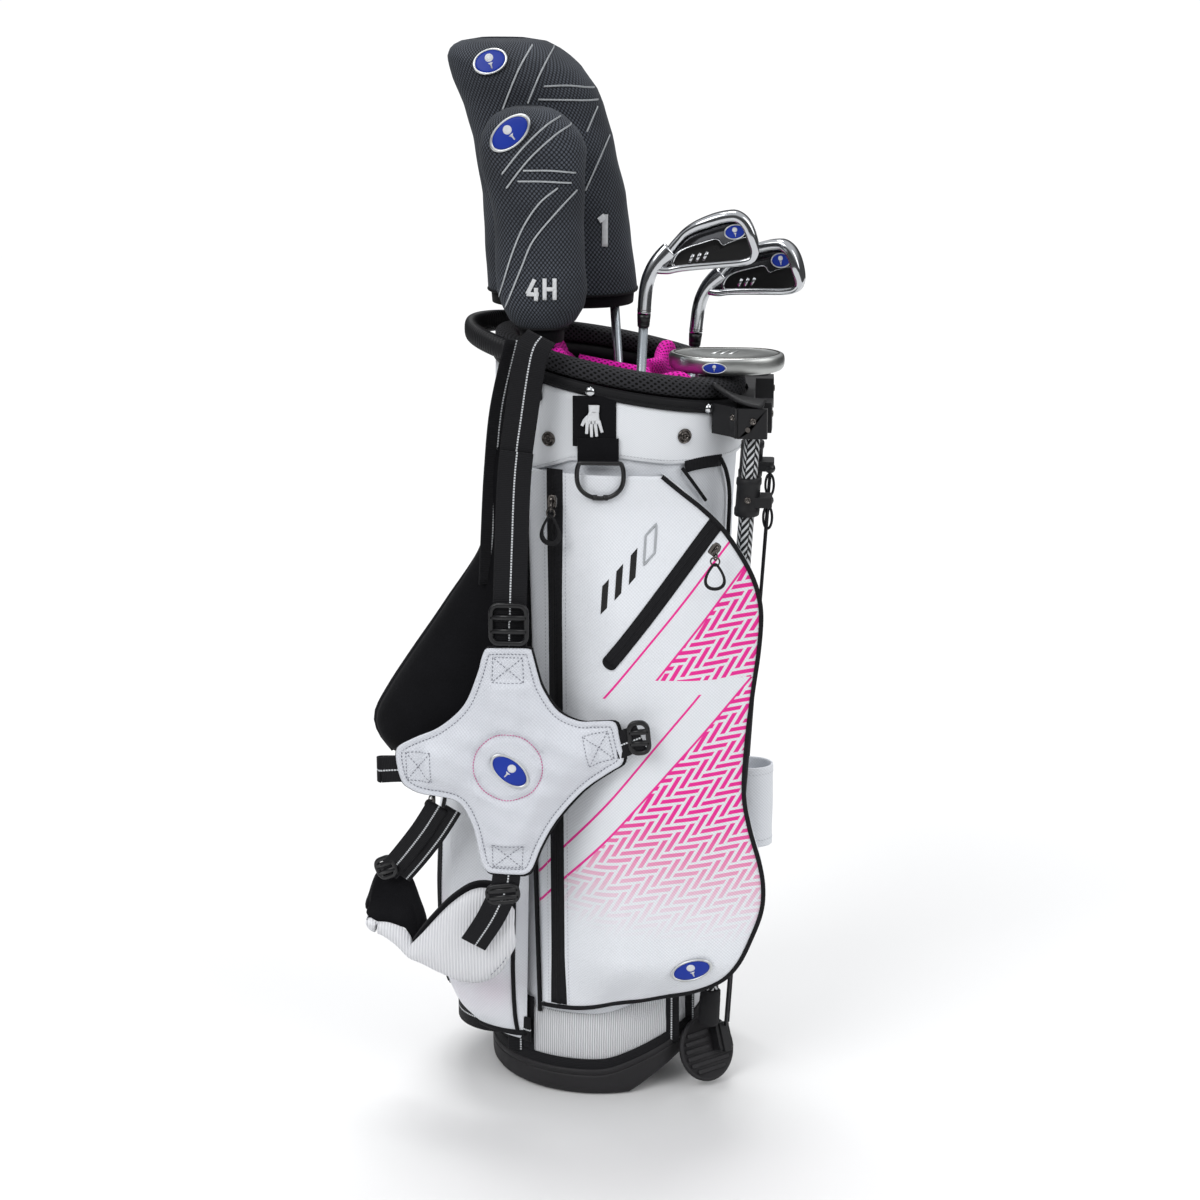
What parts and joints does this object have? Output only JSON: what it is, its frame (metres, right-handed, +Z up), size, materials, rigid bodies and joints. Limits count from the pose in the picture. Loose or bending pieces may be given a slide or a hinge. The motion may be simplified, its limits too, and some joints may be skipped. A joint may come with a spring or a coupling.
{
  "type": "golf club set",
  "caption": "Junior stand bag in white fabric with black trim and folding legs, holding a driver and hybrid in headcovers, cavity-back irons and a mallet putter.",
  "frame": {"origin": "middle of the base's underside, on the ground", "axes": "+Z up the bag, +X to the leg side, -X to the handle and strap side, -Y to the big pocket"},
  "size_m": [0.4385, 0.273, 1.026],
  "materials": {
    "boot": "moulded, fine grain",
    "white_fabric": "white honeycomb polyester",
    "cuff_fabric": "smooth coated white fabric",
    "mesh": "black air mesh",
    "divider_mesh": "magenta air mesh",
    "black_plastic": "moulded black",
    "gloss_black": "smooth black",
    "webbing": "woven black webbing",
    "pad_white": "white textured synthetic",
    "pad_black": "black plush lining",
    "leg": "black anodised tube with pale pattern",
    "dark_metal": "dark nickel",
    "pin_metal": "plain",
    "rubber": "moulded",
    "shaft": "satin silver graphite",
    "chrome": "polished",
    "putter_metal": "satin",
    "grip": "moulded",
    "wood_head": "gloss black",
    "cover_fabric": "dark grey diamond mesh"
  },
  "bodies": {
    "bag": {"base_boot": "boot", "bag_tube": "white_fabric", "cuff_band": "cuff_fabric", "top_collar": "black_plastic", "rim_roll": "mesh", "divider": "divider_mesh", "grab_handle": "black_plastic", "garment_pocket": "white_fabric", "ball_pocket": "white_fabric", "umbrella_sleeve": "white_fabric", "glove_tab": "webbing", "snap_left": "dark_metal", "snap_right": "dark_metal", "leg_bracket": "black_plastic", "pivot_pin_near": "pin_metal", "pivot_pin_far": "pin_metal", "back_pad": "pad_white", "upper_webbing": "webbing", "upper_buckle": "gloss_black", "side_buckle": "gloss_black", "stub_buckle": "gloss_black", "lower_webbing": "webbing", "upper_shoulder_pad": "pad_black", "lower_shoulder_pad": "pad_white", "pad_webbing": "webbing"},
    "d_ring": {"d_ring": "gloss_black"},
    "garment_slider": {"garment_zip_slider": "gloss_black"},
    "garment_pull": {"garment_zip_pull": "gloss_black"},
    "valuables_slider": {"valuables_zip_slider": "gloss_black"},
    "valuables_pull": {"valuables_zip_pull": "gloss_black"},
    "ball_slider": {"ball_zip_slider": "gloss_black"},
    "ball_pull": {"ball_zip_pull": "gloss_black"},
    "leg_near": {"leg_tube_near": "leg", "rod_clamp_near": "black_plastic", "leg_foot_near": "rubber"},
    "rod_near": {"push_rod_near": "dark_metal"},
    "leg_far": {"leg_tube_far": "leg", "rod_clamp_far": "black_plastic", "leg_foot_far": "rubber"},
    "rod_far": {"push_rod_far": "dark_metal"},
    "foot_plate": {"foot_plate": "black_plastic"},
    "iron_long": {"iron_long_grip": "grip", "iron_long_shaft": "shaft", "iron_long_ferrule": "gloss_black", "iron_long_head": "chrome"},
    "iron_short": {"iron_short_grip": "grip", "iron_short_shaft": "shaft", "iron_short_ferrule": "gloss_black", "iron_short_head": "chrome"},
    "driver": {"driver_grip": "grip", "driver_shaft": "shaft", "driver_head": "wood_head"},
    "driver_cover": {"driver_cover": "cover_fabric"},
    "hybrid": {"hybrid_grip": "grip", "hybrid_shaft": "shaft", "hybrid_head": "wood_head"},
    "hybrid_cover": {"hybrid_cover": "cover_fabric"},
    "putter": {"putter_grip": "grip", "putter_shaft": "shaft", "putter_head": "putter_metal"}
  },
  "joints": [
    {"name": "leg_near_swing", "type": "hinge", "parent": "bag", "child": "leg_near", "pos_m": [0.15, -0.076, 0.68], "axis": [-0.2419, -0.9703, 0], "range_deg": [0, 32], "stiffness_Nm_per_rad": 0.6, "springref_deg": -20.05},
    {"name": "leg_far_swing", "type": "hinge", "parent": "bag", "child": "leg_far", "pos_m": [0.15, 0.076, 0.68], "axis": [0.2419, -0.9703, 0], "range_deg": [0, 32]},
    {"name": "rod_near_swing", "type": "hinge", "parent": "leg_near", "child": "rod_near", "pos_m": [0.165, -0.0645, 0.604], "axis": [-0.2419, -0.9703, 0], "range_deg": [-36, 0]},
    {"name": "rod_far_swing", "type": "hinge", "parent": "leg_far", "child": "rod_far", "pos_m": [0.165, 0.0645, 0.604], "axis": [0.2419, -0.9703, 0], "range_deg": [-32, 0]},
    {"name": "foot_plate_swing", "type": "hinge", "parent": "bag", "child": "foot_plate", "pos_m": [0.1042, -0.05814, 0.06256], "axis": [-0.7507, -0.6606, 0], "range_deg": [0, 36]},
    {"name": "d_ring_swing", "type": "hinge", "parent": "bag", "child": "d_ring", "pos_m": [0.008, -0.112, 0.65], "axis": [-1, 0, 0], "range_deg": [0, 85]},
    {"name": "garment_zip_travel", "type": "slide", "parent": "bag", "child": "garment_slider", "axis": [0, -0.004, -1], "range_m": [0, 0.47]},
    {"name": "garment_pull_swing", "type": "hinge", "parent": "garment_slider", "child": "garment_pull", "pos_m": [-0.0385, -0.1143, 0.6085], "axis": [-0.9701, 0.2425, 0], "range_deg": [0, 80]},
    {"name": "valuables_zip_travel", "type": "slide", "parent": "bag", "child": "valuables_slider", "axis": [-0.6503, -0.0109, -0.7596], "range_m": [0, 0.155]},
    {"name": "valuables_pull_swing", "type": "hinge", "parent": "valuables_slider", "child": "valuables_pull", "pos_m": [0.1176, -0.1478, 0.5735], "axis": [-0.995, -0.0995, 0], "range_deg": [0, 80]},
    {"name": "ball_zip_travel", "type": "slide", "parent": "bag", "child": "ball_slider", "axis": [0, 0, -1], "range_m": [0, 0.12]},
    {"name": "ball_pull_swing", "type": "hinge", "parent": "ball_slider", "child": "ball_pull", "pos_m": [-0.1684, -0.0442, 0.2825], "axis": [-0.3304, 0.9439, 0], "range_deg": [0, 80]},
    {"name": "iron_long_lift", "type": "slide", "parent": "bag", "child": "iron_long", "axis": [0.0448, -0.0065, 0.999], "range_m": [0, 0.55]},
    {"name": "iron_short_lift", "type": "slide", "parent": "bag", "child": "iron_short", "axis": [0.0801, 0.0136, 0.9967], "range_m": [0, 0.55]},
    {"name": "driver_lift", "type": "slide", "parent": "bag", "child": "driver", "axis": [-0.0672, -0.0046, 0.9977], "range_m": [0, 0.55]},
    {"name": "hybrid_lift", "type": "slide", "parent": "bag", "child": "hybrid", "axis": [0.0207, -0.023, 0.9995], "range_m": [0, 0.55]},
    {"name": "putter_lift", "type": "slide", "parent": "bag", "child": "putter", "axis": [0.0381, 0.0029, 0.9993], "range_m": [0, 0.04]},
    {"name": "driver_cover_pull", "type": "slide", "parent": "driver", "child": "driver_cover", "axis": [-0.0672, -0.0046, 0.9977], "range_m": [0, 0.25]},
    {"name": "hybrid_cover_pull", "type": "slide", "parent": "hybrid", "child": "hybrid_cover", "axis": [0.0207, -0.023, 0.9995], "range_m": [0, 0.22]}
  ],
  "couplings": [
    {"joint": "leg_far_swing", "follows": "leg_near_swing", "ratio": 1},
    {"joint": "rod_near_swing", "follows": "leg_near_swing", "ratio": -1.12},
    {"joint": "rod_far_swing", "follows": "leg_near_swing", "ratio": -1},
    {"joint": "foot_plate_swing", "follows": "leg_near_swing", "ratio": 1.1}
  ]
}
